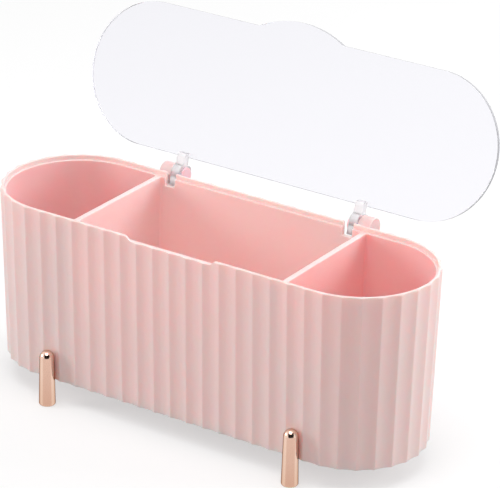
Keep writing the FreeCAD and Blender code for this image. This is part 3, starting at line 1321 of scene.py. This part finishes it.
# ------------------------------------------------------------------------------------ legs
@dataclass
class Legs:
    """Four plated legs with domed tops, flat against the wall and pegged into it."""

    tub: Tub
    finish: bpy.types.Material
    end_inset: float = 0.0088
    wall_offset: float = 0.001
    height: float = 0.0268
    foot_radius: float = 0.00387
    top_radius: float = 0.00338
    foot_edge: float = 0.0008
    foot_edge_steps: int = 5
    dome_steps: int = 14
    steps: int = 64
    wall_clearance: float = 0.00005
    peg_height: float = 0.018
    peg_radius: float = 0.0016
    peg_reach: float = 0.0010
    peg_steps: int = 32

    def wall_front(self, z: float) -> float:
        """Where the front wall is along Y, at a height."""
        return -(self.tub.radius - self.tub.drafted(z))

    def post(self, centre: Vector) -> bmesh.types.BMesh:
        """Model the tapered post, with a rounded foot edge and a domed top.

        Args:
            centre: Middle of the foot.

        Returns:
            The post as a solid.
        """
        shoulder = self.height - self.top_radius
        edge = self.foot_edge
        at_edge = self.foot_radius - (self.foot_radius - self.top_radius) * edge / shoulder
        shape = [(0.0, 0.0)]
        shape += [(at_edge - inset, rise) for inset, rise in quarter(edge, self.foot_edge_steps)]
        shape += [(self.top_radius * math.cos(angle), shoulder + self.top_radius * math.sin(angle))
                  for angle in arc_steps(self.dome_steps)]
        shape[-1] = (0.0, self.height)
        profile = [centre + Vector((radius, 0.0, z)) for radius, z in shape]
        return turned(profile, centre, Z_AXIS, self.steps)

    def wall(self, x: float) -> bmesh.types.BMesh:
        """Model the space that the front wall takes up, with its draft, behind a leg.

        Args:
            x: Where the leg is.

        Returns:
            The space as a solid to take away.
        """
        gap = self.tub.standing_gap
        top = self.height + self.tub.overrun
        side = self.foot_radius + self.tub.overrun
        low_y = self.wall_front(gap) - self.wall_clearance
        top_y = self.wall_front(top) - self.wall_clearance
        face = polygon([Vector((x - side, y, z)) for y, z in (
            (low_y, gap), (low_y + 2.0 * side, gap), (top_y + 2.0 * side, top), (top_y, top))])
        return thicken(face, X_AXIS * (2.0 * side))

    def peg(self, x: float, y: float) -> bmesh.types.BMesh:
        """Model the peg from the post's middle into the wall behind it.

        Args:
            x: Where the post's middle is.
            y: Where the post's middle is.

        Returns:
            The peg as a solid.
        """
        length = self.wall_front(self.peg_height) + self.peg_reach - y
        return rod(Vector((x, y + length / 2.0, self.peg_height)), Lying.ALONG_Y, length,
                   self.peg_radius, self.peg_steps)

    def build(self) -> None:
        """Model the front right leg four times and mirror it to each place."""
        x = self.tub.half_straight - self.end_inset
        y = -(self.tub.radius + self.wall_offset)
        for side in Side:
            for row in Row:
                mesh = combined(self.post(Vector((x, y, 0.0))),
                                [(Cut.TAKE, self.wall(x)), (Cut.ADD, self.peg(x, y))])
                bmesh.ops.scale(mesh, vec=Vector((side.value, -row.value, 1.0)),
                                verts=mesh.verts)
                bmesh.ops.recalc_face_normals(mesh, faces=mesh.faces)
                node = "leg_%s_%s" % (row.word, side.word)
                Piece("%s_plated" % node, mesh, self.finish, Body.TUB, Slot.ROSE_GOLD,
                      node).place()


# ---------------------------------------------------------------------------------- studio
@dataclass
class Aimed:
    """Something flat that stands in the studio and faces a point."""

    name: str
    place: Sequence[float]
    aim: Sequence[float]
    size: Sequence[float]

    @property
    def way(self) -> Vector:
        """Direction from its place to the point."""
        return Vector(self.aim) - Vector(self.place)


@dataclass
class SoftBox(Aimed):
    """A large soft lamp."""

    power: float

    def build(self) -> None:
        """Place the lamp and aim it."""
        data = bpy.data.lights.new(self.name, "AREA")
        data.shape = "RECTANGLE"
        data.size, data.size_y = self.size
        data.energy = self.power
        lamp = bpy.data.objects.new(self.name, data)
        lamp.location = Vector(self.place)
        lamp.rotation_mode = "QUATERNION"
        lamp.rotation_quaternion = self.way.to_track_quat("-Z", "Y")
        bpy.context.scene.collection.objects.link(lamp)


@dataclass
class Flag(Aimed):
    """A board that only shows in bright metal, as the darker sides of a studio do."""

    colour: Sequence[float] = (0.015, 0.013, 0.012)

    def build(self) -> None:
        """Place the board, facing what it is aimed at."""
        mesh = bmesh.new()
        bmesh.ops.create_grid(mesh, x_segments=1, y_segments=1, size=HALF_UNIT)
        bmesh.ops.scale(mesh, vec=Vector((*self.size, 1.0)), verts=mesh.verts)
        turn = self.way.to_track_quat("Z", "Y").to_matrix().to_4x4()
        bmesh.ops.transform(mesh, matrix=Matrix.Translation(Vector(self.place)) @ turn,
                            verts=mesh.verts)
        made = as_object(mesh, self.name)
        tree = NodeTree.of_material(self.name)
        glow = tree.node("ShaderNodeEmission")
        glow.inputs["Color"].default_value = (*self.colour, 1.0)
        made.data.materials.append(tree.output(glow.outputs["Emission"]))
        made.visible_camera = False
        made.visible_diffuse = False
        made.visible_shadow = False
        made.visible_transmission = False
        made.visible_volume_scatter = False


@dataclass
class Studio:
    """Pale floor, white surroundings, soft lamps and the camera."""

    floor_half: float = 3.0
    floor_colour: Sequence[float] = (0.43, 0.43, 0.43)
    floor_lift: float = 0.53
    floor_far_lift: float = 0.80
    fade_start: float = 0.9
    fade_end: float = 2.4
    sky_level: float = 0.46
    azimuth: float = math.radians(33.3035)
    elevation: float = math.radians(23.849)
    roll: float = math.radians(1.161)
    eye: Sequence[float] = (0.68527, -1.01484, 0.62519)
    lens: float = 217.441
    sensor: float = 36.0
    nearest: float = 0.05
    farthest: float = 20.0
    lamps: Sequence[SoftBox] = field(default_factory=lambda: (
        SoftBox("top", (0.15, -0.40, 1.5), (0.0, 0.0, 0.05), (1.1, 1.1), 12.5),
        SoftBox("left", (-1.05, -0.65, 0.50), (0.0, 0.0, 0.05), (0.35, 0.5), 4.9),
        SoftBox("right", (0.95, 0.60, 0.50), (0.0, 0.0, 0.05), (0.5, 0.5), 5.4),
        SoftBox("back", (0.25, 1.10, 0.75), (0.0, 0.0, 0.05), (0.6, 0.4), 3.0),
    ))
    flags: Sequence[Flag] = field(default_factory=lambda: (
        Flag("dark_side", (0.80, -1.18, 1.12), (0.0, 0.0, 0.03), (3.3, 3.0)),
        Flag("warm_low_side", (0.62, -0.92, -0.50), (0.0, 0.0, 0.02), (4.4, 1.0),
             (0.84, 0.75, 0.725)),
    ))

    def floor(self) -> None:
        """Pale floor that keeps the shadow and shows white, out to where the lamps fade."""
        mesh = bmesh.new()
        bmesh.ops.create_grid(mesh, x_segments=1, y_segments=1, size=self.floor_half)
        made = as_object(mesh, "studio_floor")
        tree = NodeTree.of_material("studio_floor")
        matt = tree.node("ShaderNodeBsdfDiffuse")
        matt.inputs["Color"].default_value = (*self.floor_colour, 1.0)
        lift = tree.node("ShaderNodeEmission")
        away = tree.node("ShaderNodeVectorMath", operation="LENGTH")
        tree.join(tree.node("ShaderNodeTexCoord").outputs["Object"], away.inputs[0])
        tree.join(tree.ranged(away.outputs["Value"], self.floor_lift, self.floor_far_lift,
                              self.fade_start, self.fade_end), lift.inputs["Strength"])
        both = tree.node("ShaderNodeAddShader")
        tree.join(matt.outputs["BSDF"], both.inputs[0])
        tree.join(lift.outputs["Emission"], both.inputs[1])
        made.data.materials.append(tree.output(tree.blended(
            self.seen(tree), matt.outputs["BSDF"], both.outputs["Shader"])))
        made.visible_glossy = False

    def seen(self, tree: NodeTree) -> bpy.types.NodeSocket:
        """Tell the rays that show the surroundings from those that only light things.

        Args:
            tree: Tree to add the nodes to.

        Returns:
            Socket that is 1 for rays from the camera, or off or through a surface.
        """
        path = tree.node("ShaderNodeLightPath")
        total = path.outputs["Is Camera Ray"]
        for name in ("Is Glossy Ray", "Is Transmission Ray"):
            most = tree.node("ShaderNodeMath", operation="MAXIMUM")
            tree.join(total, most.inputs[0])
            tree.join(path.outputs[name], most.inputs[1])
            total = most.outputs["Value"]
        return total

    def sky(self) -> None:
        """Even light all round, white where it is seen."""
        world = bpy.data.worlds.new("studio_sky")
        bpy.context.scene.world = world
        tree = NodeTree(world)
        light = tree.node("ShaderNodeBackground")
        light.inputs["Color"].default_value = (1.0, 1.0, 1.0, 1.0)
        tree.join(tree.between(self.seen(tree), self.sky_level, 1.0), light.inputs["Strength"])
        end = tree.node("ShaderNodeOutputWorld")
        tree.join(light.outputs["Background"], end.inputs["Surface"])

    def camera(self) -> None:
        """Camera at the calibrated place, turned by its azimuth, elevation and roll."""
        data = bpy.data.cameras.new("view")
        data.sensor_width = self.sensor
        data.sensor_fit = "HORIZONTAL"
        data.lens = self.lens
        data.clip_start = self.nearest
        data.clip_end = self.farthest
        eye = bpy.data.objects.new("view", data)
        right = Vector((math.cos(self.azimuth), math.sin(self.azimuth), 0.0))
        back = Vector((math.sin(self.azimuth) * math.cos(self.elevation),
                       -math.cos(self.azimuth) * math.cos(self.elevation),
                       math.sin(self.elevation)))
        up = back.cross(right)
        across = math.cos(self.roll) * right + math.sin(self.roll) * up
        above = math.cos(self.roll) * up - math.sin(self.roll) * right
        turn = Matrix((across, above, back)).transposed()
        eye.matrix_world = Matrix.Translation(Vector(self.eye)) @ turn.to_4x4()
        bpy.context.scene.collection.objects.link(eye)
        bpy.context.scene.camera = eye

    def build(self) -> None:
        """Set up the whole studio."""
        bpy.context.scene.view_settings.view_transform = "Standard"
        self.floor()
        self.sky()
        for item in (*self.lamps, *self.flags):
            item.build()
        self.camera()


def main() -> None:
    """Build every piece and the studio."""
    logging.basicConfig(level=logging.INFO)
    tub = Tub(PinkPlastic("pink_plastic").material())
    tub.build()
    Lid(tub, ClearAcrylic("clear_acrylic").material(),
        MouldedClear("clear_moulded").material()).build()
    HingePins(tub, PinPlastic().material()).build()
    Legs(tub, RoseGoldPlate("rose_gold_plate").material()).build()
    Studio().build()


if __name__ == "__main__":
    main()
